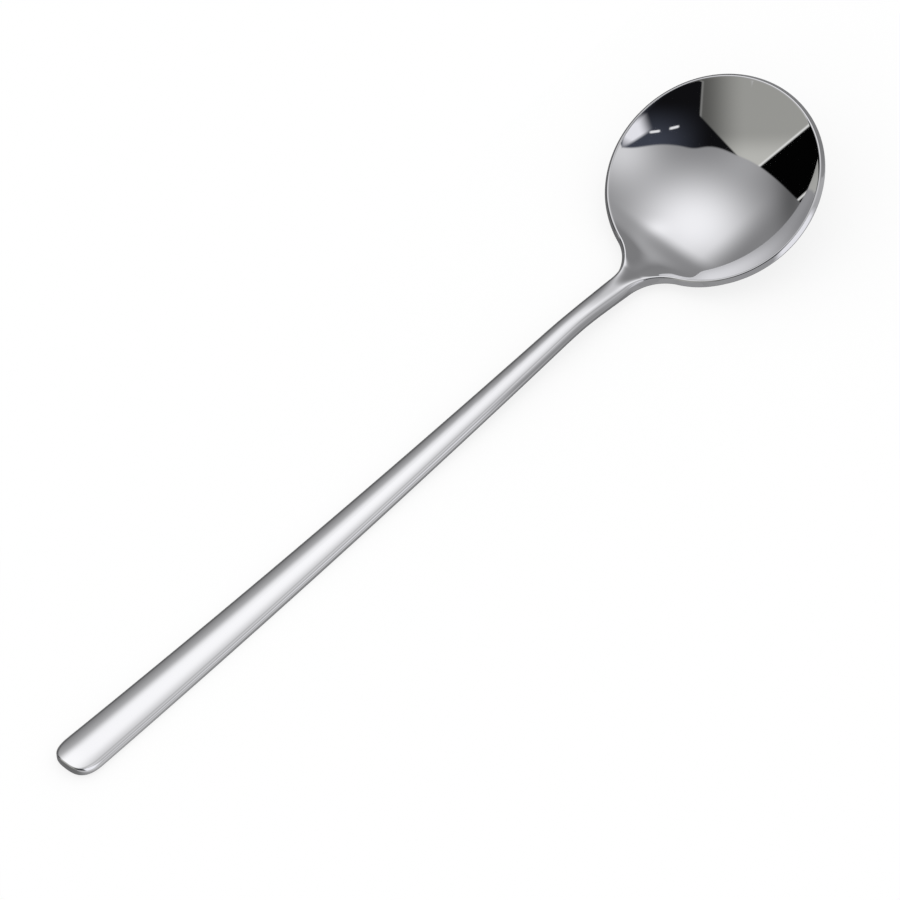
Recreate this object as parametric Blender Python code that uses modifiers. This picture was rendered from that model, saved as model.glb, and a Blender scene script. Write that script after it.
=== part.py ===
"""Demitasse spoon: a round pressed bowl with its shank, butt-welded to a long domed handle.

Units are metres, +Z is up and the spoon lies on the plane Z = 0 with its bowl towards +X.
Both pieces are lofts of half sections, mirrored across the plane Y = 0. The sections stand on a spine that
runs through the bowl's rim plane and bends up into the handle, so a section is given by three numbers: the
distance along the spine (zero at the bowl's centre, negative towards the tip), the offset to the side and
the height.
"""
import math

import bmesh
import bpy
import numpy as np

MM = 0.001

# Bowl
BOWL_DIAMETER = 29.2 * MM          # across the corner of the rim's outer edge, before it is rounded
BOWL_DEPTH = 4.9 * MM              # from the rim's inner edge down to the bottom
GAUGE = 0.9 * MM                   # wall of the bowl

# Handle and neck, seen from above
HANDLE_REACH = 118.5 * MM          # along the spine, from the bowl's centre to the tip
TIP_WIDTH = 6.3 * MM
TIP_ROUND = 3.8 * MM               # length of the rounded end
TIP_SQUARENESS = 2.75              # exponent of the rounded end's outline; 2 is an ellipse
NECK_REACH = 26.6 * MM             # from the bowl's centre to the narrowest place
NECK_WIDTH = 3.0 * MM
SHANK_SPREAD = 3.0                 # widening of the shank, metres per metre squared
SHOULDER_RADIUS = 5.6 * MM         # fillet between shank and rim

# Handle and neck, seen from the side
NECK_SLOPE = math.radians(15.0)    # handle above the rim plane, at the neck
TIP_SLOPE = math.radians(21.0)     # the same at the tip
BEND_REACH = 15.0 * MM             # middle of the bend, from the bowl's centre
BEND_HALF = 4.0 * MM               # half the length of the bend
NECK_LIFT = 1.7 * MM               # rise of the handle over the rim through the neck
LIFT_START = 12.0 * MM             # from the bowl's centre
LIFT_END = 31.0 * MM

# Sections
TIP_EDGE = 0.9 * MM                # height of the side wall
NECK_EDGE = 1.0 * MM
TIP_CROWN = 0.65 * MM              # rise of the domed top over the side wall
NECK_CROWN = 0.35 * MM
NECK_BELLY = 0.35 * MM             # depth of the rounded underside below the side wall
TIP_DROOP = 0.6                    # share of the dome's half round that its end comes down by
EDGE_ROUND = 0.2 * MM              # radius that breaks every other edge
HANDLE_ROUND = 0.6 * MM            # radius of the upper edges along the handle's sides

# Saddle between neck and bowl
SADDLE_START = 22.0 * MM           # where the neck's middle begins to sink, from the bowl's centre
SADDLE_END = 12.0 * MM             # where it has sunk
SADDLE_SINK = 0.2 * MM
SADDLE_ROUND = 4.0 * MM            # difference in height within which neck and bowl run into each other
SADDLE_FADE = 0.85                 # share of that height lost at the outline
OPENING_REACH = 14.0 * MM          # where the neck's surfaces begin to lift clear of the bowl
OPENING_LIFT = 8.0 * MM            # how far they stand clear over the bowl's centre

REST_LENGTH = 12.0 * MM            # flat under the handle that lies on the table
WELD_GAP = 0.3 * MM                # between the two welded faces

# Fineness of the lofts
SPINE_STEPS = 4000
SHEET_STEPS = 10                   # across half a section, top and bottom alike
ROUND_STEPS = 3                    # points within the round of an upper edge
TIP_STEPS = 14
HANDLE_STEP = 4.0 * MM
SHANK_STEPS = 14
SHOULDER_STEPS = 10
RIM_STEPS = 44
SOLVE_STEPS = 60
MERGE = 0.002 * MM
SHARP_ANGLE = math.radians(35.0)
CORNER_CUT = 2 - math.sqrt(2)      # way from a corner to its round, as a share of the way to the chord

RIM_RADIUS = BOWL_DIAMETER / 2


def bowl_sphere():
    """Radius of the bowl's hollow, its wall's slope at the rim and the height of its centre over the rim's
    outer edge. The rim's land stands square to the wall, so slope, lip radius and sphere depend on each
    other."""
    lip = RIM_RADIUS
    for _ in range(SOLVE_STEPS):
        sphere = (lip ** 2 + BOWL_DEPTH ** 2) / (2 * BOWL_DEPTH)
        slope = math.asin(lip / sphere)
        lip = RIM_RADIUS - GAUGE * math.sin(slope)
    return sphere, slope, (sphere + GAUGE) * math.cos(slope)


SPHERE, WALL_SLOPE, SPHERE_HEIGHT = bowl_sphere()
LIP_HEIGHT = GAUGE * math.cos(WALL_SLOPE)


def ease(value, start, end):
    """Smooth step from 0 at start to 1 at end, with level slope and curvature at both ends."""
    t = np.clip((value - start) / (end - start), 0.0, 1.0)
    return t ** 3 * (t * (6 * t - 15) + 10)


def spine_table():
    """Distance, x, z and slope of the spine, from past the nose back to past the tip."""
    dist = np.linspace(2 * RIM_RADIUS, -HANDLE_REACH - TIP_ROUND, SPINE_STEPS)
    bend = ease(-dist, BEND_REACH - BEND_HALF, BEND_REACH + BEND_HALF)
    along = np.clip((-dist - BEND_REACH) / (HANDLE_REACH - BEND_REACH), 0.0, 1.0)
    slope = bend * (NECK_SLOPE + (TIP_SLOPE - NECK_SLOPE) * along)
    step = np.diff(dist)
    middle = (slope[1:] + slope[:-1]) / 2
    x = 2 * RIM_RADIUS + np.concatenate([[0.0], np.cumsum(np.cos(middle) * step)])
    z = np.concatenate([[0.0], np.cumsum(-np.sin(middle) * step)])
    return dist[::-1], x[::-1], z[::-1], slope[::-1]


SPINE = spine_table()


def on_spine(dist, side, height):
    """Points at a distance along the spine, offset to the side and raised square to the spine."""
    x = np.interp(dist, SPINE[0], SPINE[1])
    z = np.interp(dist, SPINE[0], SPINE[2])
    slope = np.interp(dist, SPINE[0], SPINE[3])
    return np.stack([x + height * np.sin(slope), side, z + height * np.cos(slope)], axis=-1)


def taper(dist):
    """Zero at the tip and one from the neck on."""
    return np.clip((dist + HANDLE_REACH) / (HANDLE_REACH - NECK_REACH), 0.0, 1.0)


def strip_half_width(dist):
    """Half the width of the tapered handle and of the shank that spreads towards the bowl."""
    spread = np.clip(dist + NECK_REACH, 0.0, None)
    return (TIP_WIDTH + (NECK_WIDTH - TIP_WIDTH) * taper(dist)) / 2 + SHANK_SPREAD * spread ** 2


def edge_heights(dist):
    """Heights of the lower and upper edge of the strip's side wall."""
    wall = TIP_EDGE + (NECK_EDGE - TIP_EDGE) * taper(dist)
    middle = LIP_HEIGHT / 2 + NECK_LIFT * ease(-dist, LIFT_START, LIFT_END)
    return middle - wall / 2, middle + wall / 2


def bulge(dist, side, half):
    """One on the middle line and zero at the sides, drooping towards the tip."""
    across = np.abs(side) / np.maximum(half, strip_half_width(dist))
    to_tip = TIP_DROOP * np.clip(1 - (dist + HANDLE_REACH) / TIP_ROUND, 0.0, 1.0)
    return 1 - (across ** TIP_SQUARENESS + to_tip ** TIP_SQUARENESS) ** (2 / TIP_SQUARENESS)


def saddle_sink(dist):
    """How far the neck's middle has sunk between its edges."""
    return SADDLE_SINK * ease(dist, -SADDLE_START, -SADDLE_END)


def saddle(strip, dist, side, half, radius):
    """Lower of a surface of the strip and a sphere about the bowl's centre, rounded where the two come
    close, and less so towards the outline. The strip lifts clear of the bowl, and the sphere stays out of
    reach past the saddle."""
    near_bowl = np.maximum(dist, -SADDLE_START)
    x = np.interp(near_bowl, SPINE[0], SPINE[1])
    z = np.interp(near_bowl, SPINE[0], SPINE[2])
    sphere = SPHERE_HEIGHT - z - np.sqrt(np.maximum(radius ** 2 - x ** 2 - side ** 2, 0.0))
    strip = strip + OPENING_LIFT * ease(dist, -OPENING_REACH, 0.0)
    share_out = np.minimum(np.abs(side) / np.maximum(half, MERGE), 1.0)
    merge = SADDLE_ROUND * (1 - SADDLE_FADE * share_out ** 2)
    close = np.maximum(1 - np.abs(strip - sphere) / merge, 0.0)
    return np.minimum(strip, sphere) - merge / 6 * close ** 3


def top_height(dist, side, half):
    """Domed handle top that turns through the saddle of the neck into the hollow of the bowl."""
    crown = TIP_CROWN + (NECK_CROWN - TIP_CROWN) * taper(dist) - saddle_sink(dist)
    dome = edge_heights(dist)[1] + crown * bulge(dist, side, half)
    return saddle(dome, dist, side, half, SPHERE)


def under_height(dist, side, half):
    """Flat underside of the handle that rounds out at the neck and turns into the bowl's outer sphere."""
    belly = NECK_BELLY * ease(dist, -HANDLE_REACH / 2, -NECK_REACH) + saddle_sink(dist)
    keel = edge_heights(dist)[0] - belly * bulge(dist, side, half)
    return saddle(keel, dist, side, half, SPHERE + GAUGE)


def tip_outline():
    """Rounded end of the handle, from its point on the middle line to its full width."""
    angle = np.linspace(0.0, math.pi / 2, TIP_STEPS)
    dist = -HANDLE_REACH + TIP_ROUND * (1 - np.cos(angle) ** (2 / TIP_SQUARENESS))
    return np.stack([dist, strip_half_width(dist) * np.sin(angle) ** (2 / TIP_SQUARENESS)], axis=1)


def bowl_outline():
    """From the weld along the shank, round the shoulder and along the rim to the nose."""
    reach = RIM_RADIUS + SHOULDER_RADIUS
    start = -NECK_REACH
    for _ in range(SOLVE_STEPS):
        centre_side = strip_half_width(np.array(start)) + SHOULDER_RADIUS
        start = -math.sqrt(reach ** 2 - centre_side ** 2)
    turn = math.atan2(centre_side, -start)
    weld = -NECK_REACH + WELD_GAP / 2
    shank = np.linspace(weld, start, SHANK_STEPS)[:-1]
    shank = np.stack([shank, strip_half_width(shank)], axis=1)
    angle = np.linspace(0.0, math.pi / 2 - turn, SHOULDER_STEPS)
    shoulder = np.stack([start + SHOULDER_RADIUS * np.sin(angle),
                         centre_side - SHOULDER_RADIUS * np.cos(angle)], axis=1)
    angle = np.linspace(math.pi - turn, 0.0, RIM_STEPS)[1:]
    rim = np.stack([RIM_RADIUS * np.cos(angle), RIM_RADIUS * np.sin(angle)], axis=1)
    return np.concatenate([shank, shoulder, rim])


def handle_outline(rest):
    """From the tip to the weld, with one long step where the handle lies on the table."""
    tip = tip_outline()
    before = np.linspace(tip[-1, 0], rest - REST_LENGTH / 2,
                         1 + math.ceil((rest - REST_LENGTH / 2 - tip[-1, 0]) / HANDLE_STEP))[1:]
    weld = -NECK_REACH - WELD_GAP / 2
    after = np.linspace(rest + REST_LENGTH / 2, weld,
                        1 + math.ceil((weld - rest - REST_LENGTH / 2) / HANDLE_STEP))
    dist = np.concatenate([before, after])
    return np.concatenate([tip, np.stack([dist, strip_half_width(dist)], axis=1)])


def outward(outline):
    """Outward normals of a half outline, square to the middle line where it ends on it, and to the weld."""
    along = np.gradient(outline, axis=0)
    normal = np.stack([-along[:, 1], along[:, 0]], axis=1)
    normal /= np.linalg.norm(normal, axis=1, keepdims=True)
    for end, sign in ((0, -1.0), (-1, 1.0)):
        on_middle_line = outline[end, 1] < EDGE_ROUND / 2
        normal[end] = (sign, 0.0) if on_middle_line else (0.0, 1.0)
    return normal


def section_points(outline):
    """Half sections of a piece: its top from the middle to the edge, the rounded side wall, and its
    underside back to the middle. Returns an array of stations by section points by three."""
    normal = outward(outline)
    lean = GAUGE * math.sin(WALL_SLOPE) * ease(outline[:, :1], -SADDLE_START, -RIM_RADIUS)
    top_edge = outline - lean * normal
    along_handle = normal[:, 1:] ** 2 * ease(-outline[:, :1], RIM_RADIUS, SADDLE_START)
    upper_round = EDGE_ROUND + (HANDLE_ROUND - EDGE_ROUND) * along_handle
    top_rim = top_edge - upper_round * normal
    under_rim = outline - EDGE_ROUND * normal
    across = np.linspace(0.0, 1.0, SHEET_STEPS + 1)

    def sheet(rim, edge, height):
        dist = np.repeat(rim[:, :1], len(across), axis=1)
        side = rim[:, 1:] * across
        return on_spine(dist, side, height(dist, side, edge[:, 1:]))

    def edge_points(edge, height):
        return on_spine(edge[:, 0], edge[:, 1], height(edge[:, 0], edge[:, 1], edge[:, 1]))

    def corner(point, one, other):
        return point + CORNER_CUT * ((one + other) / 2 - point)

    def arc(point, one, other):
        share = np.linspace(0.0, 1.0, ROUND_STEPS + 2)[1:-1, None]
        pull = math.sqrt(2) * share * (1 - share)
        total = (1 - share) ** 2 + pull + share ** 2
        weights = ((1 - share) ** 2 / total, pull / total, share ** 2 / total)
        return sum(weight * end[:, None] for weight, end in zip(weights, (one, point, other)))

    top = sheet(top_rim, top_edge, top_height)
    under = sheet(under_rim, outline, under_height)
    upper = edge_points(top_edge, top_height)
    lower = edge_points(outline, under_height)
    down = (lower - upper) / np.linalg.norm(lower - upper, axis=1, keepdims=True)
    wall_top = upper + upper_round * down
    wall_foot = lower - EDGE_ROUND * down
    wall = np.stack([wall_top, wall_foot, corner(lower, under[:, -1], wall_foot)], axis=1)
    return np.concatenate([top, arc(upper, top[:, -1], wall_top), wall, under[:, ::-1]], axis=1)


def rest_chord(rest):
    """Tilt of the flat under the handle at a distance along the spine, and how far the bowl's outer sphere
    stands above the plane of that flat."""
    ends = np.array([rest - REST_LENGTH / 2, rest + REST_LENGTH / 2])
    middle = np.zeros(2)
    flat = on_spine(ends, middle, under_height(ends, middle, strip_half_width(ends)))
    run = flat[1] - flat[0]
    tilt = math.atan2(-run[2], run[0])
    to_sphere = np.array([0.0, 0.0, SPHERE_HEIGHT]) - flat[0]
    return tilt, to_sphere[0] * math.sin(tilt) + to_sphere[2] * math.cos(tilt) - SPHERE - GAUGE


def find_rest():
    """Distance along the spine of the flat whose plane also touches the bowl, and the tilt that levels
    it."""
    near_tip = -HANDLE_REACH + TIP_ROUND + REST_LENGTH / 2
    near_neck = -LIFT_END - REST_LENGTH / 2
    for _ in range(SOLVE_STEPS):
        rest = (near_tip + near_neck) / 2
        if rest_chord(rest)[1] > 0:
            near_tip = rest
        else:
            near_neck = rest
    return rest, rest_chord(rest)[0]


def steel(name, colour, roughness):
    """Polished stainless steel."""
    material = bpy.data.materials.new(name)
    material.use_nodes = True
    shader = material.node_tree.nodes["Principled BSDF"]
    shader.inputs["Base Color"].default_value = (*colour, 1.0)
    shader.inputs["Metallic"].default_value = 1.0
    shader.inputs["Roughness"].default_value = roughness
    return material


def loft_half(name, sections, weld_at_start, material, collection, parent):
    """Mesh object lofted through half sections, closed at the weld and mirrored across the middle plane."""
    stations, around = sections.shape[:2]
    index = np.arange(stations * around).reshape(stations, around)
    quads = np.stack([index[:-1, :-1], index[1:, :-1], index[1:, 1:], index[:-1, 1:]], axis=-1)
    faces = quads.reshape(-1, 4).tolist()
    faces.append((index[0] if weld_at_start else index[-1, ::-1]).tolist())
    mesh = bpy.data.meshes.new(name)
    mesh.from_pydata(sections.reshape(-1, 3).tolist(), [], faces)
    work = bmesh.new()
    work.from_mesh(mesh)
    bmesh.ops.remove_doubles(work, verts=work.verts[:], dist=MERGE)
    work.to_mesh(mesh)
    work.free()
    mesh.shade_smooth()
    mesh.set_sharp_from_angle(angle=SHARP_ANGLE)
    mesh.materials.append(material)
    piece = bpy.data.objects.new(name, mesh)
    mirror = piece.modifiers.new("other_half", "MIRROR")
    mirror.use_axis = (False, True, False)
    mirror.merge_threshold = MERGE
    collection.objects.link(piece)
    piece.parent = parent
    return piece


def main():
    for old in list(bpy.data.objects):
        bpy.data.objects.remove(old)
    collection = bpy.data.collections.new("demitasse_spoon")
    bpy.context.scene.collection.children.link(collection)

    rest, tilt = find_rest()
    bowl = section_points(bowl_outline())
    handle = section_points(handle_outline(rest))

    # Tilt the spoon until the flat under its handle is level, and centre its length over the origin
    points = np.concatenate([bowl.reshape(-1, 3), handle.reshape(-1, 3)])
    length = points[:, 0] * math.cos(tilt) - points[:, 2] * math.sin(tilt)
    height = points[:, 0] * math.sin(tilt) + points[:, 2] * math.cos(tilt)
    lying = bpy.data.objects.new("lying_spoon", None)
    lying.rotation_euler = (0.0, -tilt, 0.0)
    lying.location = (-(length.min() + length.max()) / 2, 0.0, -height.min())
    collection.objects.link(lying)

    loft_half("bowl", bowl, True, steel("mirror_steel", (0.79, 0.79, 0.80), 0.06), collection, lying)
    loft_half("handle", handle, False, steel("polished_steel", (0.80, 0.80, 0.80), 0.10), collection, lying)


main()
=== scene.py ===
"""Demitasse spoon in polished steel, dressed for a studio picture.

The spoon is worked out in its rim frame: the bowl's rim lies in the plane z = 0, the bowl's centre
is the origin and the handle runs towards -x along a spine that bends up out of the rim plane. A
place on the spoon is given by its distance along the spine, its offset to the side and its height
square to the spine. At the end the whole is tilted until it lies on the floor.
"""
import math

import bmesh
import bpy
import numpy as np
from bpy.props import FloatProperty, FloatVectorProperty, PointerProperty
from mathutils import Matrix, Vector


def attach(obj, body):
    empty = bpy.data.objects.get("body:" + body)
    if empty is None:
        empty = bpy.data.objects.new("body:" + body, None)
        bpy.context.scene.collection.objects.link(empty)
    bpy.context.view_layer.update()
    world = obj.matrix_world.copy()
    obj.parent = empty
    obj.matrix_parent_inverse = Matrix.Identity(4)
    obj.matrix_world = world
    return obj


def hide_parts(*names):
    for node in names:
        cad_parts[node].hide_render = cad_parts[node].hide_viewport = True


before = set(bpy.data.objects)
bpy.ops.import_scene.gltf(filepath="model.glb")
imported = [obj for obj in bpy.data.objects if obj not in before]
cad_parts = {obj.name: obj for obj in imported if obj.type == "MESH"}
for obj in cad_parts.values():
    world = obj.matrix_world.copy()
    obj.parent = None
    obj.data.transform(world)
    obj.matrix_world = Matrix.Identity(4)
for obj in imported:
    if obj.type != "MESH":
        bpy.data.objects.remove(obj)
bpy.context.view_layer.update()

bl_info = {
    "name": "Demitasse Spoon",
    "version": (1, 0, 0),
    "blender": (4, 5, 0),
    "location": "3D View > Sidebar > Spoon",
    "description": "Polished steel demitasse spoon on a pale floor under a light tent",
    "category": "Object",
}

MM = 0.001

# Fineness of the surfaces
SPINE_STEPS = 4000
SOLVE_STEPS = 60
SHEET_STEPS = 44            # across half a section, top and bottom alike
ROUND_STEPS = 6             # around a broken edge
WALL_STEPS = 4
TIP_STEPS = 72
HANDLE_STEPS = 190
SHANK_STEPS = 44
SHOULDER_STEPS = 36
RIM_STEPS = 190
FLOOR_STEPS = 4
FAR_CARD_STEPS = 59
NEAR_CARD_STEPS = 23
TENT_ROWS = 48
TENT_COLUMNS = 96
MERGE = 0.0005 * MM
SHARP_ANGLE = math.radians(50.0)

# Polish of the steel
# The handle's tint is lighter than the bowl's steel: painted light that brightens its reflections
# towards the tip
PAINTED_LIGHT_TINT_FROM = 26.0 * MM  # along x, where the bowl's tint gives way to the handle's
PAINTED_LIGHT_TINT_TO = -15.0 * MM
BOWL_GRAIN = (900.0, 900.0, 900.0)      # cells of the hairlines to the metre
BOWL_GRAIN_DEPTH = 0.00002 * MM
HANDLE_GRAIN = (60.0, 6000.0, 6000.0)
HANDLE_GRAIN_DEPTH = 0.00005 * MM
GRAIN_DETAIL = 3.0
CLOUD_SCALE = 160.0
CLOUD_DETAIL = 2.0
HAZE_LEAST = 0.75           # shares of the roughness
HAZE_OF_CLOUD = 0.5
HAZE_OF_GRAIN = 0.3
FLECK = 0.015               # share of the colour that varies
FLECK_OF_CLOUD = 0.35

# Floor, and the cards that the spoon mirrors
FLOOR_END = 90.0 * MM
FLOOR_FRONT = -45.0 * MM
FLOOR_BACK = 30.0 * MM
COOL = 1.02                 # blue in the grey of the cards and the soft box
# The floor card shows only in the steel's reflections. Its grey tones are painted shadow of the
# floor, darkest under the spoon
FLOOR_CARD_LIFT = 0.02 * MM
FLOOR_SHADOW_TONES = 0.16, 0.18, 0.26     # under the spoon, more beside it, more by the handle
FLOOR_CARD_BESIDE = -1.5 * MM, -6.0 * MM
FLOOR_CARD_OFF_BOWL = 13.0 * MM, 16.5 * MM
FLOOR_CARD_HANDLE_END = 28.0 * MM, 10.0 * MM
FLOOR_CARD_HANDLE_SIDE = -22.0 * MM, -12.0 * MM
FAR_CARD_PAST_TIP = 10.0 * MM
FAR_CARD_END = -13.0 * MM
FAR_CARD_SIDE = 12.0 * MM
FAR_CARD_HEIGHT = 21.0 * MM
FAR_CARD_GROWTH = 4.0 * MM
FAR_CARD_GROWS = -110.0 * MM, -40.0 * MM
FAR_CARD_SHRINKAGE = 0.55
FAR_CARD_SHRINKS = -50.0 * MM, -28.0 * MM
NEAR_CARD_RUN = -44.0 * MM, -10.0 * MM
NEAR_CARD_SIDE = -10.0 * MM
NEAR_CARD_HEIGHT = 6.5 * MM
SENSOR_WIDTH = 36.0

# Light tent in millimetres on the bowl. A point is (across, down), and an edge runs from point to
# point with its panel on the clockwise side.
BOWL_MIRROR = 22.56         # radius of the hollow's sphere
FRONT_DOWN = 2.85           # front edge of the soft box
FRONT_BLUR = 0.25
FRONT_BEND_FROM, FRONT_BEND = 3.6, 0.0495
FRONT_DROP_FROM, FRONT_DROP = -6.3, 0.45
FRONT_SAGS = ((0.3, 2.7, 1.0), (-0.2, -1.2, 1.5), (0.2, 8.0, 1.2), (0.22, -5.3, 1.3))
SOFT_BOX_FILL = 0.266
SOFT_BOX_BELLS = ((0.5, (-6.3, 3.26), (3.0, 3.1)), (0.127, (9.6, 4.4), (2.3, 2.0)),
                  (-0.147, (14.9, 8.6), (1.5, 6.0)))
HEART_BELLS = ((0.82, (2.5, 12.64), (5.2, 4.25), 1.15), (0.22, (-2.4, 13.2), (1.3, 0.8)))
HEART_NEAR_EDGE, HEART_NEAR_BLUR = ((4.9, 18.73), (-5.1, 12.23)), 1.1
HEART_FAR_EDGE, HEART_FAR_BLUR = ((10.0, 13.1), (0.0, 21.74)), 1.85
DUSK = 0.02
DUSK_PAST_EDGE = 0.4, -1.2
DUSK_ACROSS = 1.5, -0.5
ROOM_DARK = (0.006, 0.006, 0.007, 1.0)
ROOM_LIT = (0.055, 0.062, 0.085, 1.0)
ROOM_LIT_DOWN = -3.0, 2.5
ROOM_LIT_ACROSS = 5.0, -2.5
UPPER_WALL, UPPER_WALL_FROM, UPPER_WALL_BLUR = (0.34, 0.34, 0.35, 1.0), -5.9, 1.0
SIDE_WALL, SIDE_WALL_FROM, SIDE_WALL_BLUR = (0.46, 0.46, 0.47, 1.0), -6.7, 0.8
LAMPS = ((-2.85, 1.1), (-1.65, 0.94)), ((-0.35, 0.64), (0.75, 0.37))
LAMP_TONE = (0.95, 0.95, 0.97, 1.0)
LAMP_WIDTH = 0.21
LAMP_BLUR = 0.3
LAMP_GAIN = 1.7
CARD_TONE = (0.95, 0.95, 1.0, 1.0)
CARD_FOOT, CARD_FOOT_BLUR = ((-2.7, 0.8), (-6.3, 3.12)), 0.4
CARD_HEAD, CARD_HEAD_BLUR = ((-6.3, 2.4), (-11.0, 0.6)), 1.6
CARD_SIDE, CARD_SIDE_BLUR = ((-4.1, -1.5), (-3.4, 0.5)), 1.0
CARD_END = -13.0, -10.5
PANEL_LEFT = (3.45, -0.97), (3.75, -5.35)
PANEL_SLANT = (8.24, 4.2), (3.47, -0.97)
PANEL_SEAM = (17.6, 0.16), (11.1, 5.3)
PANEL_BLUR = 0.2
PANEL_SHADES = 0.115, 0.27, 0.2         # least, more across, more down
PANEL_ACROSS = 3.6, 9.5
PANEL_DOWN = 1.0, 4.6
PANEL_WARMTH = 0.94
PAST_PANEL = (0.001, 0.001, 0.001, 1.0)
LOWER_SEAM = (15.76, 9.82), (18.27, 7.68)
SEAM_TONE = (0.95, 0.95, 0.93, 1.0)
SEAM_WIDTH = 0.22
LEFT_SEAM_WIDTH, LEFT_SEAM_SHARE = 0.3, 0.25


def length(name, description, millimetres):
    """Property for a length of the spoon."""
    return FloatProperty(name=name, description=description, default=millimetres * MM,
                         unit="LENGTH", precision=5)


def angle(name, description, degrees):
    """Property for an angle."""
    return FloatProperty(name=name, description=description, default=math.radians(degrees),
                         subtype="ANGLE")


def share(name, description, value):
    """Property for a plain number."""
    return FloatProperty(name=name, description=description, default=value, precision=4)


def colour(name, description, value):
    """Property for a colour."""
    return FloatVectorProperty(name=name, description=description, default=value, size=3,
                               subtype="COLOR", min=0.0, max=1.0)


class SpoonSizes(bpy.types.PropertyGroup):
    """Sizes of the spoon."""
    bowl_diameter: length("Bowl Diameter",
                          "Across the corner of the rim before it is rounded", 29.2)
    bowl_depth: length("Bowl Depth", "From the rim's inner edge down to the bottom", 4.9)
    gauge: length("Gauge", "Wall of the bowl", 0.9)
    handle_reach: length("Handle Reach", "Along the spine from the bowl's centre to the tip", 118.5)
    tip_width: length("Tip Width", "Width of the handle at the tip", 6.3)
    tip_round: length("Tip Round", "Length of the rounded end", 3.8)
    tip_squareness: share("Tip Squareness",
                          "Exponent of the rounded end's outline, 2 is an ellipse", 2.75)
    neck_reach: length("Neck Reach", "From the bowl's centre to the narrowest place", 26.6)
    neck_width: length("Neck Width", "Width of the narrowest place", 3.0)
    shank_spread: share("Shank Spread", "Widening of the shank in metres per metre squared", 3.0)
    shoulder_radius: length("Shoulder Radius", "Fillet between the shank and the rim", 5.6)
    neck_slope: angle("Neck Slope", "Handle above the rim plane at the neck", 15.0)
    tip_slope: angle("Tip Slope", "Handle above the rim plane at the tip", 21.0)
    bend_reach: length("Bend Reach", "Middle of the bend from the bowl's centre", 15.0)
    bend_half: length("Bend Half", "Half the length of the bend", 4.0)
    neck_lift: length("Neck Lift", "Rise of the handle over the rim through the neck", 1.7)
    lift_start: length("Lift Start", "Where the rise begins, from the bowl's centre", 12.0)
    lift_end: length("Lift End", "Where the rise ends, from the bowl's centre", 31.0)
    tip_edge: length("Tip Edge", "Height of the side wall at the tip", 0.9)
    neck_edge: length("Neck Edge", "Height of the side wall at the neck", 1.0)
    tip_crown: length("Tip Crown", "Rise of the domed top at the tip", 0.5)
    neck_crown: length("Neck Crown", "Rise of the domed top at the neck", 0.35)
    crown_squareness: share("Crown Squareness", "Exponent of the domed top, 2 is a parabola", 2.5)
    neck_belly: length("Neck Belly", "Depth of the rounded underside at the neck", 0.35)
    edge_round: length("Edge Round", "Radius that breaks the rim and the lower edges", 0.2)
    handle_round: length("Handle Round", "Radius of the handle's upper edges", 0.6)
    tip_droop: share("Tip Droop",
                     "How far the dome comes down to the tip, 1 is as far as to the sides", 0.6)
    saddle_start: length("Saddle Start", "Where the neck's middle begins to sink", 22.0)
    saddle_end: length("Saddle End", "Where the neck's middle has sunk", 12.0)
    saddle_sink: length("Saddle Sink", "How far the neck's middle sinks", 0.2)
    saddle_round: length("Saddle Round", "Height difference within which neck and bowl merge", 4.0)
    saddle_fade: share("Saddle Fade", "Share of that height lost at the outline", 0.62)
    opening_reach: length("Opening Reach", "Where the neck's surfaces lift clear of the bowl", 14.0)
    opening_lift: length("Opening Lift", "How far they stand clear over the bowl's centre", 8.0)
    rest_length: length("Rest Length", "Flat under the handle that lies on the floor", 12.0)


class SteelFinish(bpy.types.PropertyGroup):
    """Colours and polish of the steel."""
    bowl_colour: colour("Bowl Colour", "Reflected colour of the mirror-polished bowl",
                        (0.79, 0.79, 0.80))
    bowl_roughness: share("Bowl Roughness", "Haze of the mirror polish", 0.03)
    # Lighter than the bowl's steel of the same kind: painted light, so that the handle's
    # reflections read brighter
    handle_colour_painted_lighter: colour("Handle Colour", "Reflected colour of the polished handle",
                          (0.88, 0.88, 0.885))
    handle_roughness: share("Handle Roughness", "Haze of the handle's polish", 0.07)


class StudioSet(bpy.types.PropertyGroup):
    """Floor, light tent and camera."""
    floor_colour: colour("Floor Colour", "Pale floor", (1.0, 1.0, 1.0))
    floor_glow: share("Floor Glow", "Share of the floor's white that shadows leave alone", 0.78)
    camera_azimuth: angle("Camera Azimuth", "Round from straight in front", -40.42)
    camera_elevation: angle("Camera Elevation", "Above the floor", 52.13)
    camera_roll: angle("Camera Roll", "Turn about the line of sight", 6.82)
    camera_distance: length("Camera Distance", "From the target", 4300.0)
    camera_lens: share("Camera Lens", "Focal length in millimetres on a 36 mm sensor", 1372.1)
    camera_target: FloatVectorProperty(
        name="Camera Target", description="Point in the middle of the picture",
        default=(-0.000196, -0.003829, 0.004807), size=3, unit="LENGTH", precision=6)
    tent_radius: length("Tent Radius", "Light tent round the spoon", 3000.0)


def ease(value, start, end):
    """Smooth step from 0 at start to 1 at end: 6t^5 - 15t^4 + 10t^3, level and straight at both
    ends."""
    t = np.clip((value - start) / (end - start), 0.0, 1.0)
    return t ** 3 * (t * (6 * t - 15) + 10)


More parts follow.
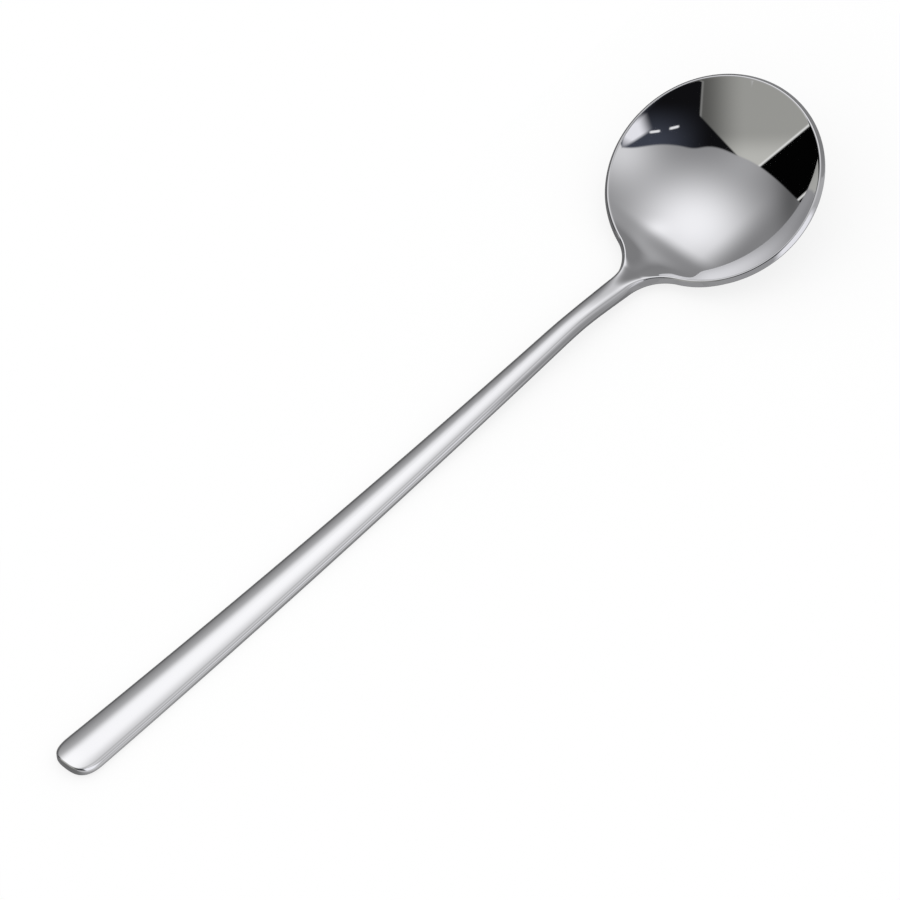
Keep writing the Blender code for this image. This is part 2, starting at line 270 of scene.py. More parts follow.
class SpoonForm:
    """Surfaces of the spoon for one set of sizes."""

    def __init__(self, sizes):
        """Solves the bowl's sphere and adds up the spine.
        The rim's land stands square to the wall: lip = rim - gauge * sin(slope),
        slope = asin(lip / sphere) and sphere = (lip^2 + depth^2) / (2 depth) hold together. The
        spine's slope eases from 0 to the neck's slope through the bend and then grows evenly to
        the tip's slope."""
        self.s = sizes
        self.rim = sizes.bowl_diameter / 2
        lip = self.rim
        for _ in range(SOLVE_STEPS):
            self.sphere = (lip ** 2 + sizes.bowl_depth ** 2) / (2 * sizes.bowl_depth)
            self.wall_slope = math.asin(lip / self.sphere)
            lip = self.rim - sizes.gauge * math.sin(self.wall_slope)
        self.centre = (self.sphere + sizes.gauge) * math.cos(self.wall_slope)
        self.lip_height = sizes.gauge * math.cos(self.wall_slope)
        dist = np.linspace(2 * self.rim, -sizes.handle_reach - sizes.tip_round, SPINE_STEPS)
        bend = ease(-dist, sizes.bend_reach - sizes.bend_half, sizes.bend_reach + sizes.bend_half)
        along = (-dist - sizes.bend_reach) / (sizes.handle_reach - sizes.bend_reach)
        growth = (sizes.tip_slope - sizes.neck_slope) * np.clip(along, 0.0, 1.0)
        slope = bend * (sizes.neck_slope + growth)
        step = np.diff(dist)
        middle = (slope[1:] + slope[:-1]) / 2
        x = 2 * self.rim + np.concatenate([[0.0], np.cumsum(np.cos(middle) * step)])
        z = np.concatenate([[0.0], np.cumsum(-np.sin(middle) * step)])
        self.spine = dist[::-1], x[::-1], z[::-1], slope[::-1]

    def on_spine(self, dist, side, height):
        """Point of the spine, plus side along y, plus height along the spine's normal
        (sin slope, 0, cos slope)."""
        x, z, slope = (np.interp(dist, self.spine[0], column) for column in self.spine[1:])
        return np.stack([x + height * np.sin(slope), side, z + height * np.cos(slope)], axis=-1)

    def taper(self, dist):
        """Zero at the tip, growing evenly to one at the neck."""
        reach = self.s.handle_reach
        return np.clip((dist + reach) / (reach - self.s.neck_reach), 0.0, 1.0)

    def half_width(self, dist):
        """Tapered handle, plus a spread with the square of the distance past the neck."""
        spread = np.clip(dist + self.s.neck_reach, 0.0, None)
        width = self.s.tip_width + (self.s.neck_width - self.s.tip_width) * self.taper(dist)
        return width / 2 + self.s.shank_spread * spread ** 2

    def edge_heights(self, dist):
        """Lower and upper edge of the side wall: half the wall's height under and over a line that
        rises through the neck."""
        wall = self.s.tip_edge + (self.s.neck_edge - self.s.tip_edge) * self.taper(dist)
        lift = self.s.neck_lift * ease(-dist, self.s.lift_start, self.s.lift_end)
        middle = self.lip_height / 2 + lift
        return middle - wall / 2, middle + wall / 2

    def bulge(self, dist, side, half):
        """1 - (across^n + to_tip^n)^(p/n): one on the middle line and zero at the sides, drooping
        to the tip."""
        n = self.s.tip_squareness
        across = np.abs(side) / np.maximum(half, self.half_width(dist))
        past_round = (dist + self.s.handle_reach) / self.s.tip_round
        to_tip = self.s.tip_droop * np.clip(1 - past_round, 0.0, 1.0)
        return 1 - (across ** n + to_tip ** n) ** (self.s.crown_squareness / n)

    def sink(self, dist):
        """How far the neck's middle has sunk between its edges, eased along the saddle."""
        return self.s.saddle_sink * ease(dist, -self.s.saddle_start, -self.s.saddle_end)

    def saddle(self, strip, dist, side, half, radius):
        """Lower of the strip's surface and a sphere about the bowl's centre, less
        round / 6 * close^3 where the two come within the round's height of each other. The round
        fades with the square of the share of the way to the outline."""
        near_bowl = np.maximum(dist, -self.s.saddle_start)
        x, z = (np.interp(near_bowl, self.spine[0], column) for column in self.spine[1:3])
        drop = np.sqrt(np.maximum(radius ** 2 - x ** 2 - side ** 2, 0.0))
        sphere = self.centre - z - drop
        strip = strip + self.s.opening_lift * ease(dist, -self.s.opening_reach, 0.0)
        share_out = np.minimum(np.abs(side) / np.maximum(half, MERGE), 1.0)
        merge = self.s.saddle_round * (1 - self.s.saddle_fade * share_out ** 2)
        close = np.maximum(1 - np.abs(strip - sphere) / merge, 0.0)
        return np.minimum(strip, sphere) - merge / 6 * close ** 3

    def top_height(self, dist, side, half):
        """Upper edge plus the crown's dome, turned through the saddle into the bowl's hollow."""
        crown = self.s.tip_crown + (self.s.neck_crown - self.s.tip_crown) * self.taper(dist)
        bulge = self.bulge(dist, side, half)
        dome = self.edge_heights(dist)[1] + (crown - self.sink(dist)) * bulge
        return self.saddle(dome, dist, side, half, self.sphere)

    def under_height(self, dist, side, half):
        """Lower edge less the belly's dome, turned through the saddle into the bowl's outer
        sphere."""
        belly = self.s.neck_belly * ease(dist, -self.s.handle_reach / 2, -self.s.neck_reach)
        bulge = self.bulge(dist, side, half)
        keel = self.edge_heights(dist)[0] - (belly + self.sink(dist)) * bulge
        return self.saddle(keel, dist, side, half, self.sphere + self.s.gauge)

    def bowl_outline(self):
        """Half outline from the weld along the shank, round the shoulder's arc and along the rim
        to the nose."""
        s = self.s
        reach = self.rim + s.shoulder_radius
        start = -s.neck_reach
        for _ in range(SOLVE_STEPS):
            centre_side = float(self.half_width(np.array(start))) + s.shoulder_radius
            start = -math.sqrt(reach ** 2 - centre_side ** 2)
        turn = math.atan2(centre_side, -start)
        shank = np.linspace(-s.neck_reach, start, SHANK_STEPS)[:-1]
        shank = np.stack([shank, self.half_width(shank)], axis=1)
        arc = np.linspace(0.0, math.pi / 2 - turn, SHOULDER_STEPS)
        shoulder = np.stack([start + s.shoulder_radius * np.sin(arc),
                             centre_side - s.shoulder_radius * np.cos(arc)], axis=1)
        arc = np.linspace(math.pi - turn, 0.0, RIM_STEPS)[1:]
        rim = np.stack([self.rim * np.cos(arc), self.rim * np.sin(arc)], axis=1)
        rim[-1, 1] = 0.0
        return np.concatenate([shank, shoulder, rim])

    def handle_outline(self):
        """Half outline from the tip's point, a superellipse quarter, along the taper to the
        weld."""
        s = self.s
        power = 2 / s.tip_squareness
        arc = np.linspace(0.0, math.pi / 2, TIP_STEPS)
        dist = -s.handle_reach + s.tip_round * (1 - np.cos(arc) ** power)
        tip = np.stack([dist, self.half_width(dist) * np.sin(arc) ** power], axis=1)
        dist = np.linspace(-s.handle_reach + s.tip_round, -s.neck_reach, HANDLE_STEPS)[1:]
        return np.concatenate([tip, np.stack([dist, self.half_width(dist)], axis=1)])

    def outward(self, outline):
        """Normals of a half outline: its direction turned by a quarter, square to the middle line
        or the weld at the ends."""
        along = np.gradient(outline, axis=0)
        normal = np.stack([-along[:, 1], along[:, 0]], axis=1)
        normal /= np.linalg.norm(normal, axis=1, keepdims=True)
        for end, sign in ((0, -1.0), (-1, 1.0)):
            on_middle = outline[end, 1] < self.s.edge_round / 2
            normal[end] = (sign, 0.0) if on_middle else (0.0, 1.0)
        return normal

    def rings(self, outline):
        """Closed sections of a piece, stations by section points by three. Each runs from the
        middle of the top over the rounded edge, the side wall and the lower edge to the middle of
        the underside, and back mirrored on the other side."""
        s = self.s
        normal = self.outward(outline)
        into_bowl = ease(outline[:, :1], -s.saddle_start, -self.rim)
        top_edge = outline - s.gauge * math.sin(self.wall_slope) * into_bowl * normal
        on_side = normal[:, 1:] ** 2 * ease(-outline[:, :1], self.rim, s.saddle_start)
        round_off = s.edge_round + (s.handle_round - s.edge_round) * on_side
        across = np.linspace(0.0, 1.0, SHEET_STEPS + 1)

        def sheet(edge, height, broken):
            """Half a surface, from the middle line to where the edge's round begins."""
            rim = edge - broken * normal
            dist = np.repeat(rim[:, :1], len(across), axis=1)
            side = np.maximum(rim[:, 1:], 0.0) * across
            return self.on_spine(dist, side, height(dist, side, edge[:, 1:]))

        def corner(edge, height):
            """The edge itself, as it is before it is rounded."""
            dist, side = edge.T
            return self.on_spine(dist, side, height(dist, side, side))

        def arc(first, point, last):
            """Circle's arc between two points at one distance from a corner: the rational parabola
            on the three, the corner weighted by the chord over twice that distance."""
            t = np.linspace(0.0, 1.0, ROUND_STEPS + 2)[1:-1, None]
            first, point, last = first[:, None], point[:, None], last[:, None]
            reach = np.linalg.norm(point - first, axis=2, keepdims=True)
            weight = np.linalg.norm(last - first, axis=2, keepdims=True) / (2 * reach)
            start, blend, end = (1 - t) ** 2, 2 * weight * t * (1 - t), t ** 2
            return (start * first + blend * point + end * last) / (start + blend + end)

        top = sheet(top_edge, self.top_height, round_off)
        under = sheet(outline, self.under_height, s.edge_round)
        upper = corner(top_edge, self.top_height)
        lower = corner(outline, self.under_height)
        down = (lower - upper) / np.linalg.norm(lower - upper, axis=1, keepdims=True)
        wall_top = upper + round_off * down
        wall_foot = lower - s.edge_round * down
        t = np.linspace(0.0, 1.0, WALL_STEPS + 1)[:, None]
        wall = wall_top[:, None] * (1 - t) + wall_foot[:, None] * t
        half = np.concatenate([top, arc(top[:, -1], upper, wall_top), wall,
                               arc(wall_foot, lower, under[:, -1]), under[:, ::-1]], axis=1)
        other = half[:, -2:0:-1] * (1.0, -1.0, 1.0)
        return np.concatenate([half, other], axis=1)

    def rest_chord(self, rest):
        """Tilt and first point of the flat under the handle, and how far the bowl's outer sphere
        stands above its plane."""
        ends = np.array([rest - self.s.rest_length / 2, rest + self.s.rest_length / 2])
        middle = np.zeros(2)
        height = self.under_height(ends, middle, self.half_width(ends))
        flat = self.on_spine(ends, middle, height)
        run = flat[1] - flat[0]
        tilt = math.atan2(-run[2], run[0])
        to_sphere = np.array([0.0, 0.0, self.centre]) - flat[0]
        above = to_sphere[0] * math.sin(tilt) + to_sphere[2] * math.cos(tilt)
        return tilt, flat[0], above - self.sphere - self.s.gauge

    def lie_down(self, points):
        """Turns points of the rim frame about y until the flat under the handle is level, halving
        to find the flat whose plane also touches the bowl, and puts the spoon's length over the
        origin."""
        near_tip = -self.s.handle_reach + self.s.tip_round + self.s.rest_length / 2
        near_neck = -self.s.lift_end - self.s.rest_length / 2
        for _ in range(SOLVE_STEPS):
            rest = (near_tip + near_neck) / 2
            tilt, foot, above = self.rest_chord(rest)
            near_tip, near_neck = (rest, near_neck) if above > 0 else (near_tip, rest)
        turn = np.array([[math.cos(tilt), 0.0, -math.sin(tilt)],
                         [0.0, 1.0, 0.0],
                         [math.sin(tilt), 0.0, math.cos(tilt)]])
        reach = np.array([-self.s.handle_reach, self.rim])
        ends = self.on_spine(reach, np.zeros(2), np.zeros(2)) @ turn.T
        lain = points @ turn.T - (ends[:, 0].mean(), 0.0, (turn @ foot)[2])
        lain[..., 2] = np.maximum(lain[..., 2], 0.0)
        return lain


class Field:
    """A socket of a node tree as a value. Arithmetic on it adds Math nodes."""

    def __init__(self, tree, socket=None):
        self.tree = tree
        self.socket = socket

    def node(self, kind, settings=None, inputs=None, output=0):
        """Adds a node, sets its settings, then fills its sockets with values or links."""
        node = self.tree.nodes.new(kind)
        for key, value in (settings or {}).items():
            setattr(node, key, value)
        for key, value in (inputs or {}).items():
            if isinstance(value, Field):
                self.tree.links.new(value.socket, node.inputs[key])
            else:
                node.inputs[key].default_value = value
        return Field(self.tree, node.outputs[output] if node.outputs else None)

    def math(self, operation, *values, clamp=False):
        """Math node on values."""
        settings = {"operation": operation, "use_clamp": clamp}
        return self.node("ShaderNodeMath", settings, dict(enumerate(values)))

    def vector_math(self, operation, *values, output="Vector"):
        """Vector Math node on vectors."""
        settings = {"operation": operation}
        return self.node("ShaderNodeVectorMath", settings, dict(enumerate(values)), output)

    def __add__(self, other):
        return self.math("ADD", self, other)

    __radd__ = __add__

    def __sub__(self, other):
        return self.math("SUBTRACT", self, other)

    def __rsub__(self, other):
        return self.math("SUBTRACT", other, self)

    def __mul__(self, other):
        return self.math("MULTIPLY", self, other)

    __rmul__ = __mul__

    def __truediv__(self, other):
        return self.math("DIVIDE", self, other)

    def __rtruediv__(self, other):
        return self.math("DIVIDE", other, self)

    def __pow__(self, other):
        return self.math("POWER", self, other)

    def __rpow__(self, other):
        return self.math("POWER", other, self)

    def __abs__(self):
        return self.math("ABSOLUTE", self)

    def clamp(self):
        """This value held between 0 and 1."""
        return self.math("ADD", self, 0.0, clamp=True)

    def most(self, other):
        """The greater of two values."""
        return self.math("MAXIMUM", self, other)

    def step(self, width):
        """Even rise from 0 to 1 over a width, half way where the value is zero."""
        return self.math("ADD", self / width, 0.5, clamp=True)

    def smooth(self, start, end):
        """Smooth rise from 0 at start to 1 at end."""
        return self.node("ShaderNodeMapRange", {"interpolation_type": "SMOOTHSTEP"},
                         {"Value": self, "From Min": start, "From Max": end}, "Result")

    def part(self, axis):
        """One part of a vector."""
        return self.node("ShaderNodeSeparateXYZ", None, {"Vector": self}, axis)

    def mix(self, one, other):
        """Colour one where this value is 0 and the other where it is 1."""
        return self.node("ShaderNodeMix", {"data_type": "RGBA"}, {0: self, 6: one, 7: other}, 2)

    def grey(self, blue):
        """Grey of this value, with a share of it as its blue."""
        return self.node("ShaderNodeCombineColor", None,
                         {"Red": self, "Green": self, "Blue": self * blue})


def new_material(name):
    """Material with an empty tree, and a start for its fields."""
    material = bpy.data.materials.new(name)
    material.use_nodes = True
    material.node_tree.nodes.clear()
    return material, Field(material.node_tree)


def put_surface(start, shader):
    """Output of a material that shows a shader."""
    start.node("ShaderNodeOutputMaterial", None, {"Surface": shader})


def rgba(values, factor=1.0):
    """Four-part colour of a three-part one, made brighter or darker."""
    return (*(factor * v for v in values), 1.0)


def polished_steel(name, weld_tint, tint, roughness, grain, grain_depth):
    """Polished steel: hairlines of a noise stretched along the grain lift the surface by fractions
    of a micron, and a soft cloud varies the haze that polishing leaves. The tint comes in away from
    the weld. On the handle it is lighter than the bowl's steel: painted light that brightens the
    handle's reflections towards the tip."""
    material, start = new_material(name)
    place = start.node("ShaderNodeTexCoord", output="Object")
    lines = start.node("ShaderNodeMapping", {"vector_type": "POINT"},
                       {"Vector": place, "Scale": grain})
    hairline = start.node("ShaderNodeTexNoise", None,
                          {"Vector": lines, "Scale": 1.0, "Detail": GRAIN_DETAIL})
    cloud = start.node("ShaderNodeTexNoise", None,
                       {"Vector": place, "Scale": CLOUD_SCALE, "Detail": CLOUD_DETAIL})
    haze = (roughness * (HAZE_LEAST + HAZE_OF_CLOUD * cloud)
            + roughness * HAZE_OF_GRAIN * (hairline - 0.5))
    # Painted light: share of the handle's lighter tint, rising along x away from the weld
    away = place.part("X").smooth(PAINTED_LIGHT_TINT_FROM, PAINTED_LIGHT_TINT_TO)
    mottle = FLECK_OF_CLOUD * cloud + (1 - FLECK_OF_CLOUD) * hairline
    shade = start.node("ShaderNodeVectorMath", {"operation": "SCALE"},
                       {0: away.mix(rgba(weld_tint), rgba(tint)),
                        "Scale": 1 - FLECK + FLECK * mottle})
    relief = start.node("ShaderNodeBump", None,
                        {"Strength": 1.0, "Distance": grain_depth, "Height": hairline})
    put_surface(start, start.node(
        "ShaderNodeBsdfPrincipled", None,
        {"Base Color": shade, "Metallic": 1.0, "Roughness": haze, "Normal": relief}))
    return material


def put_mesh(name, rings, material, cap_first):
    """Mesh object lofted through closed rings, closed at the weld by one face. A ring that has
    shrunk to a line closes its own end when the doubles are merged."""
    stations, around = rings.shape[:2]
    index = np.arange(stations * around).reshape(stations, around)
    after = np.roll(index, -1, axis=1)
    quads = np.stack([index[:-1], index[1:], after[1:], after[:-1]], axis=-1).reshape(-1, 4)
    cap = index[0] if cap_first else index[-1, ::-1]
    mesh = bpy.data.meshes.new(name)
    mesh.from_pydata(rings.reshape(-1, 3), [], quads.tolist() + [cap.tolist()])
    work = bmesh.new()
    work.from_mesh(mesh)
    bmesh.ops.remove_doubles(work, verts=work.verts[:], dist=MERGE)
    work.to_mesh(mesh)
    work.free()
    mesh.shade_smooth()
    mesh.set_sharp_from_angle(angle=SHARP_ANGLE)
    mesh.materials.append(material)
    piece = bpy.data.objects.new(name, mesh)
    bpy.context.scene.collection.objects.link(piece)
    return piece


class SPOON_OT_bowl(bpy.types.Operator):
    """Pressed bowl with its shank, in mirror-polished steel."""
    bl_idname = "spoon.bowl"
    bl_label = "Bowl"

    def execute(self, context):
        form = SpoonForm(context.scene.spoon_sizes)
        finish = context.scene.spoon_finish
        steel = polished_steel("mirror_steel_polish", finish.bowl_colour, finish.bowl_colour,
                               finish.bowl_roughness, BOWL_GRAIN, BOWL_GRAIN_DEPTH)
        rings = form.lie_down(form.rings(form.bowl_outline()))
        piece = put_mesh("bowl_polished", rings, steel, cap_first=True)
        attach(piece, "root")
        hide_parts("bowl")
        return {"FINISHED"}


class SPOON_OT_handle(bpy.types.Operator):
    """Long domed handle, in polished steel."""
    bl_idname = "spoon.handle"
    bl_label = "Handle"

    def execute(self, context):
        form = SpoonForm(context.scene.spoon_sizes)
        finish = context.scene.spoon_finish
        # The handle's lighter tint away from the weld is painted light
        steel = polished_steel("handle_steel_polish", finish.bowl_colour, finish.handle_colour_painted_lighter,
                               finish.handle_roughness, HANDLE_GRAIN, HANDLE_GRAIN_DEPTH)
        rings = form.lie_down(form.rings(form.handle_outline()))
        piece = put_mesh("handle_polished", rings, steel, cap_first=False)
        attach(piece, "root")
        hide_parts("handle")
        return {"FINISHED"}


def camera_axes(studio):
    """Right, up and back of the camera: back points at it by azimuth and elevation, and right and
    up turn about back by the roll."""
    azimuth, elevation = studio.camera_azimuth, studio.camera_elevation
    roll = studio.camera_roll
    back = Vector((math.sin(azimuth) * math.cos(elevation),
                   -math.cos(azimuth) * math.cos(elevation), math.sin(elevation)))
    level = Vector((0.0, 0.0, 1.0)).cross(back).normalized()
    upright = back.cross(level)
    right = level * math.cos(roll) - upright * math.sin(roll)
    up = upright * math.cos(roll) + level * math.sin(roll)
    return right, up, back


def floor_material(studio):
    """Pale floor that takes the spoon's shadow. To camera, glossy and transmission rays a share of
    its white shines by itself, which keeps the shadow faint."""
    material, start = new_material("pale_floor")
    path = {name: start.node("ShaderNodeLightPath", output=name)
            for name in ("Is Camera Ray", "Is Glossy Ray", "Is Transmission Ray")}
    seen = path["Is Camera Ray"].most(path["Is Glossy Ray"]).most(path["Is Transmission Ray"])
    matt = {"Roughness": 1.0, "Specular IOR Level": 0.0}
    plain = start.node("ShaderNodeBsdfPrincipled", None,
                       {"Base Color": rgba(studio.floor_colour), **matt})
    glowing = start.node("ShaderNodeBsdfPrincipled", None,
                         {"Base Color": rgba(studio.floor_colour, 1 - studio.floor_glow), **matt,
                          "Emission Color": rgba(studio.floor_colour),
                          "Emission Strength": studio.floor_glow})
    put_surface(start, start.node("ShaderNodeMixShader", None, {0: seen, 1: plain, 2: glowing}))
    return material


def emitting(start, tone):
    """Shader of a surface that only shines in a colour."""
    return start.node("ShaderNodeBsdfPrincipled", None,
                      {"Base Color": (0.0, 0.0, 0.0, 1.0), "Roughness": 1.0,
                       "Specular IOR Level": 0.0, "Emission Color": tone,
                       "Emission Strength": 1.0})


def tent_material(studio):
    """Light tent. Its panels are laid out by where the bowl shows them to the camera: millimetres
    right of and below the place where the bowl faces the camera, on the sphere whose normal halves
    ray and line of sight."""
    right, up, back = camera_axes(studio)
    material, start = new_material("light_tent")
    ray = start.vector_math("NORMALIZE", start.node("ShaderNodeTexCoord", output="Object"))
    halfway = start.vector_math("NORMALIZE", start.vector_math("ADD", ray, tuple(back)))
    across, down = (start.vector_math("DOT_PRODUCT", halfway, tuple(axis), output="Value")
                    for axis in (-right * BOWL_MIRROR, up * BOWL_MIRROR))

    def beyond(first, last):
        """Distance past the line from the first point to the last, on its clockwise side."""
        run = math.hypot(last[0] - first[0], last[1] - first[1])
        east, south = (last[0] - first[0]) / run, (last[1] - first[1]) / run
        return down * east - across * south + (first[0] * south - first[1] * east)

    def bell(strength, centre, reach, flatness=1.0):
        """Bell about a point: strength * exp(-0.5 * (distance^2)^flatness)."""
        east = (across - centre[0]) / reach[0]
        south = (down - centre[1]) / reach[1]
        squared = east * east + south * south
        return strength * start.math("EXPONENT", -0.5 * squared ** flatness)

    def swell(strength, place, reach):
        """Bell across the tent: strength * exp(-0.5 * ((across - place) / reach)^2)."""
        east = (across - place) / reach
        return strength * start.math("EXPONENT", -0.5 * east * east)

    def line(distance, width):
        """One on a line, falling to zero at the width to either side."""
        return start.math("SUBTRACT", 1.0, abs(distance) / width, clamp=True)

    # Soft box behind and above the spoon, with its front edge over the camera
    bend = (across - FRONT_BEND_FROM).most(0.0)
    drop = (FRONT_DROP_FROM - across).most(0.0)
    sag = sum(swell(*values) for values in FRONT_SAGS)
    front = FRONT_DOWN + FRONT_BEND * bend * bend + FRONT_DROP * drop + sag
    past_near = beyond(*HEART_NEAR_EDGE)
    heart = (sum(bell(*values) for values in HEART_BELLS)
             * past_near.smooth(-HEART_NEAR_BLUR, HEART_NEAR_BLUR)
             * beyond(*HEART_FAR_EDGE).smooth(-HEART_FAR_BLUR, HEART_FAR_BLUR))
    dusk = DUSK * past_near.smooth(*DUSK_PAST_EDGE) * across.smooth(*DUSK_ACROSS)
    glow = SOFT_BOX_FILL - dusk + heart + sum(bell(*values) for values in SOFT_BOX_BELLS)

    # Dark room past the soft box's front edge, with two small lamps
    lit = down.smooth(*ROOM_LIT_DOWN) * across.smooth(*ROOM_LIT_ACROSS)
    room = lit.mix(ROOM_DARK, ROOM_LIT)
    room = (UPPER_WALL_FROM - down).step(UPPER_WALL_BLUR).mix(room, UPPER_WALL)
    room = (SIDE_WALL_FROM - across).step(SIDE_WALL_BLUR).mix(room, SIDE_WALL)
    for first, last in LAMPS:
        middle, reach = (first[0] + last[0]) / 2, (last[0] - first[0]) / 2
        between = (reach - abs(across - middle)).step(LAMP_BLUR)
        lamp = between * line(beyond(first, last), LAMP_WIDTH)
        room = (lamp * LAMP_GAIN).clamp().mix(room, LAMP_TONE)

    # White card to the right of the camera
    card = (beyond(*CARD_FOOT).step(CARD_FOOT_BLUR) * beyond(*CARD_HEAD).step(CARD_HEAD_BLUR)
            * beyond(*CARD_SIDE).smooth(-CARD_SIDE_BLUR, CARD_SIDE_BLUR)
            * across.smooth(*CARD_END))
    room = card.mix(room, CARD_TONE)

    # Grey panel to the side, with bright seams
    left, slant, seam = (beyond(*edge) for edge in (PANEL_LEFT, PANEL_SLANT, PANEL_SEAM))
    panel = left.step(PANEL_BLUR) * slant.step(PANEL_BLUR) * seam.step(PANEL_BLUR)
    least, more_across, more_down = PANEL_SHADES
    shade = (least + more_across * across.smooth(*PANEL_ACROSS)
             + more_down * down.smooth(*PANEL_DOWN))
    room = panel.mix(room, shade.grey(PANEL_WARMTH))
    room = (0.0 - seam).step(PANEL_BLUR).mix(room, PAST_PANEL)
    left_seam = line(left, LEFT_SEAM_WIDTH) * panel * LEFT_SEAM_SHARE
    seams = line(seam, SEAM_WIDTH).most(line(beyond(*LOWER_SEAM), SEAM_WIDTH)).most(left_seam)
    room = seams.mix(room, SEAM_TONE)

    tone = (down - front).step(FRONT_BLUR).mix(room, glow.grey(COOL))
    put_surface(start, emitting(start, tone))
    return material


def floor_shadow_card_material(bowl_centre):
    """Grey card under the spoon that only its reflections show, giving its lower edges their line.
    Its grey is painted shadow of the floor: dark under handle and bowl, light on the camera's side
    of the handle, and less so on that side of the bowl."""
    material, start = new_material("floor_shadow_card")
    place = start.node("ShaderNodeTexCoord", output="Object")
    side = place.part("Y")
    from_bowl = start.vector_math("DISTANCE", place, bowl_centre, output="Value")
    beside = side.smooth(*FLOOR_CARD_BESIDE) * from_bowl.smooth(*FLOOR_CARD_OFF_BOWL)
    by_handle = (place.part("X").smooth(*FLOOR_CARD_HANDLE_END)
                 * side.smooth(*FLOOR_CARD_HANDLE_SIDE))
    under, more_beside, more_by_handle = FLOOR_SHADOW_TONES
    # Painted shadow: the grey is darkest under the spoon and lightens beside it and by the handle
    value = under + beside * (more_beside + more_by_handle * by_handle)
    put_surface(start, emitting(start, value.grey(COOL)))
    return material


def side_card_material(name, low, gain, top_fade, end_fade):
    """Grey card beside the handle, lighter with its height, that fades out upwards and at both
    ends."""
    material, start = new_material(name)
    place = start.node("ShaderNodeTexCoord", output="UV")
    height = place.part("Y")
    to_end = 2.0 * abs(place.part("X") - 0.5)
    clear = height.smooth(top_fade, 1.0).most(to_end.smooth(end_fade, 1.0))
    shine = emitting(start, (low + gain * height).grey(COOL))
    through = start.node("ShaderNodeBsdfTransparent")
    put_surface(start, start.node("ShaderNodeMixShader", None, {0: clear, 1: shine, 2: through}))
    return material


def put_grid(name, points, material):
    """Mesh object of an open grid of points, whose UV runs from 0 to 1 along its columns and its
    rows."""
    rows, columns = points.shape[:2]
    index = np.arange(rows * columns).reshape(rows, columns)
    quads = np.stack([index[:-1, :-1], index[1:, :-1], index[1:, 1:], index[:-1, 1:]], axis=-1)
    quads = quads.reshape(-1, 4)
    mesh = bpy.data.meshes.new(name)
    mesh.from_pydata(points.reshape(-1, 3), [], quads.tolist())
    row, column = np.divmod(quads.ravel(), columns)
    flat = np.stack([column / (columns - 1), row / (rows - 1)], axis=1)
    mesh.uv_layers.new(name="grid").data.foreach_set("uv", flat.astype(np.float32).ravel())
    mesh.shade_smooth()
    mesh.materials.append(material)
    piece = bpy.data.objects.new(name, mesh)
    bpy.context.scene.collection.objects.link(piece)
    return piece


def level_grid(steps, height):
    """Points of a level rectangle of the floor's size: x along its rows, y along its columns."""
    x, y = np.meshgrid(np.linspace(-FLOOR_END, FLOOR_END, steps + 1),
                       np.linspace(FLOOR_FRONT, FLOOR_BACK, steps + 1), indexing="ij")
    return np.stack([x, y, np.full_like(x, height)], axis=-1)


def put_floor_shadow_card(form):
    """Card a hair above the floor, whose painted shadow is darkest under the bowl's centre."""
    middle = np.zeros(1)
    bowl_centre = form.lie_down(form.on_spine(middle, middle, middle))[0] * (1.0, 1.0, 0.0)
    return put_grid("floor_shadow_card", level_grid(1, FLOOR_CARD_LIFT),
                    floor_shadow_card_material(tuple(bowl_centre)))


def put_far_card(form):
    """Card along the far side, from past the tip to the bowl: its foot runs level with the upper
    edge, its height grows along the handle, and height and distance shrink by one share towards
    the neck."""
    dist = np.linspace(-form.s.handle_reach - FAR_CARD_PAST_TIP, FAR_CARD_END, FAR_CARD_STEPS + 1)
    size = 1 - FAR_CARD_SHRINKAGE * ease(dist, *FAR_CARD_SHRINKS)
    foot = form.on_spine(dist, FAR_CARD_SIDE * size, form.edge_heights(dist)[1])
    foot = form.lie_down(foot)
    height = size * (FAR_CARD_HEIGHT + FAR_CARD_GROWTH * ease(dist, *FAR_CARD_GROWS))
    top = foot + np.outer(height, (0.0, 0.0, 1.0))
    return put_grid("far_card", np.stack([foot, top]),
                    side_card_material("far_card", low=0.065, gain=0.67, top_fade=0.53,
                                       end_fade=0.92))


def put_near_card(form):
    """Low card along the camera's side of the neck, from the floor to a height over the upper
    edge."""
    dist = np.linspace(*NEAR_CARD_RUN, NEAR_CARD_STEPS + 1)
    side = np.full_like(dist, NEAR_CARD_SIDE)
    edge = form.lie_down(form.on_spine(dist, side, form.edge_heights(dist)[1]))
    points = np.stack([edge * (1.0, 1.0, 0.0), edge + (0.0, 0.0, NEAR_CARD_HEIGHT)])
    return put_grid("near_card", points,
                    side_card_material("near_card", low=0.3, gain=0.06, top_fade=0.7,
                                       end_fade=0.4))


def put_tent(studio):
    """Ball round the spoon, by turn and rise: radius * (cos rise cos turn, cos rise sin turn,
    sin rise)."""
    turn, rise = np.meshgrid(np.linspace(0.0, 2 * math.pi, TENT_COLUMNS + 1),
                             np.linspace(-math.pi / 2, math.pi / 2, TENT_ROWS + 1))
    ball = np.stack([np.cos(rise) * np.cos(turn), np.cos(rise) * np.sin(turn), np.sin(rise)],
                    axis=-1)
    return put_grid("light_tent", studio.tent_radius * ball, tent_material(studio))


def put_camera(studio):
    """Camera that looks at its target by the studio's angles, from its distance."""
    right, up, back = camera_axes(studio)
    lens = bpy.data.cameras.new("camera")
    lens.sensor_width = SENSOR_WIDTH
    lens.lens = studio.camera_lens
    camera = bpy.data.objects.new("camera", lens)
    turned = Matrix((right, up, back)).transposed().to_4x4()
    place = Vector(studio.camera_target) + studio.camera_distance * back
    camera.matrix_world = Matrix.Translation(place) @ turned
    bpy.context.scene.collection.objects.link(camera)
    return camera


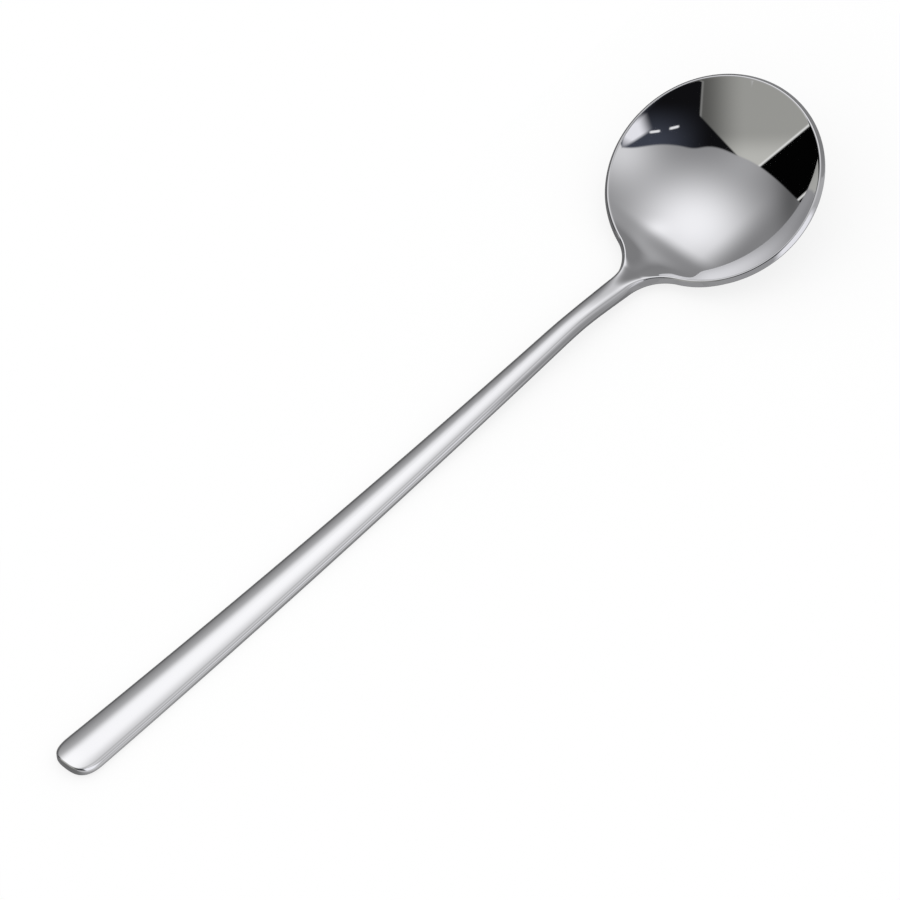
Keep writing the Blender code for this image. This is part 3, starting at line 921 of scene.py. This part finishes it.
class SPOON_OT_stage(bpy.types.Operator):
    """Pale floor, cards and light tent that only mirrors show, plain world and camera."""
    bl_idname = "spoon.stage"
    bl_label = "Stage"

    def execute(self, context):
        scene = context.scene
        studio = scene.spoon_studio
        form = SpoonForm(scene.spoon_sizes)
        scene.view_settings.view_transform = "Standard"
        world = bpy.data.worlds.new("plain_light")
        world.use_nodes = True
        world.node_tree.nodes["Background"].inputs["Color"].default_value = (1.0, 1.0, 1.0, 1.0)
        scene.world = world
        put_grid("floor", level_grid(FLOOR_STEPS, 0.0), floor_material(studio))
        for screen in (put_floor_shadow_card(form), put_far_card(form), put_near_card(form),
                       put_tent(studio)):
            screen.visible_camera = False
            screen.visible_diffuse = False
            screen.visible_shadow = False
            screen.active_material.cycles.emission_sampling = "NONE"
        scene.camera = put_camera(studio)
        return {"FINISHED"}


class SPOON_PT_panel(bpy.types.Panel):
    """Sizes, finish and stage of the spoon."""
    bl_label = "Demitasse Spoon"
    bl_idname = "SPOON_PT_panel"
    bl_space_type = "VIEW_3D"
    bl_region_type = "UI"
    bl_category = "Spoon"

    def draw(self, context):
        scene = context.scene
        for operator in (SPOON_OT_bowl, SPOON_OT_handle, SPOON_OT_stage):
            self.layout.operator(operator.bl_idname)
        for group in (scene.spoon_sizes, scene.spoon_finish, scene.spoon_studio):
            box = self.layout.box()
            for name in group.__annotations__:
                box.prop(group, name)


CLASSES = (SpoonSizes, SteelFinish, StudioSet, SPOON_OT_bowl, SPOON_OT_handle, SPOON_OT_stage,
           SPOON_PT_panel)


def register():
    """Registers the classes and gives the scene its three groups of values."""
    for part in CLASSES:
        bpy.utils.register_class(part)
    bpy.types.Scene.spoon_sizes = PointerProperty(type=SpoonSizes)
    bpy.types.Scene.spoon_finish = PointerProperty(type=SteelFinish)
    bpy.types.Scene.spoon_studio = PointerProperty(type=StudioSet)


def unregister():
    """Takes back what register gave."""
    del bpy.types.Scene.spoon_studio
    del bpy.types.Scene.spoon_finish
    del bpy.types.Scene.spoon_sizes
    for part in reversed(CLASSES):
        bpy.utils.unregister_class(part)


def main():
    """Builds the spoon and its stage."""
    register()
    bpy.ops.spoon.bowl()
    bpy.ops.spoon.handle()
    bpy.ops.spoon.stage()


if __name__ == "__main__":
    main()
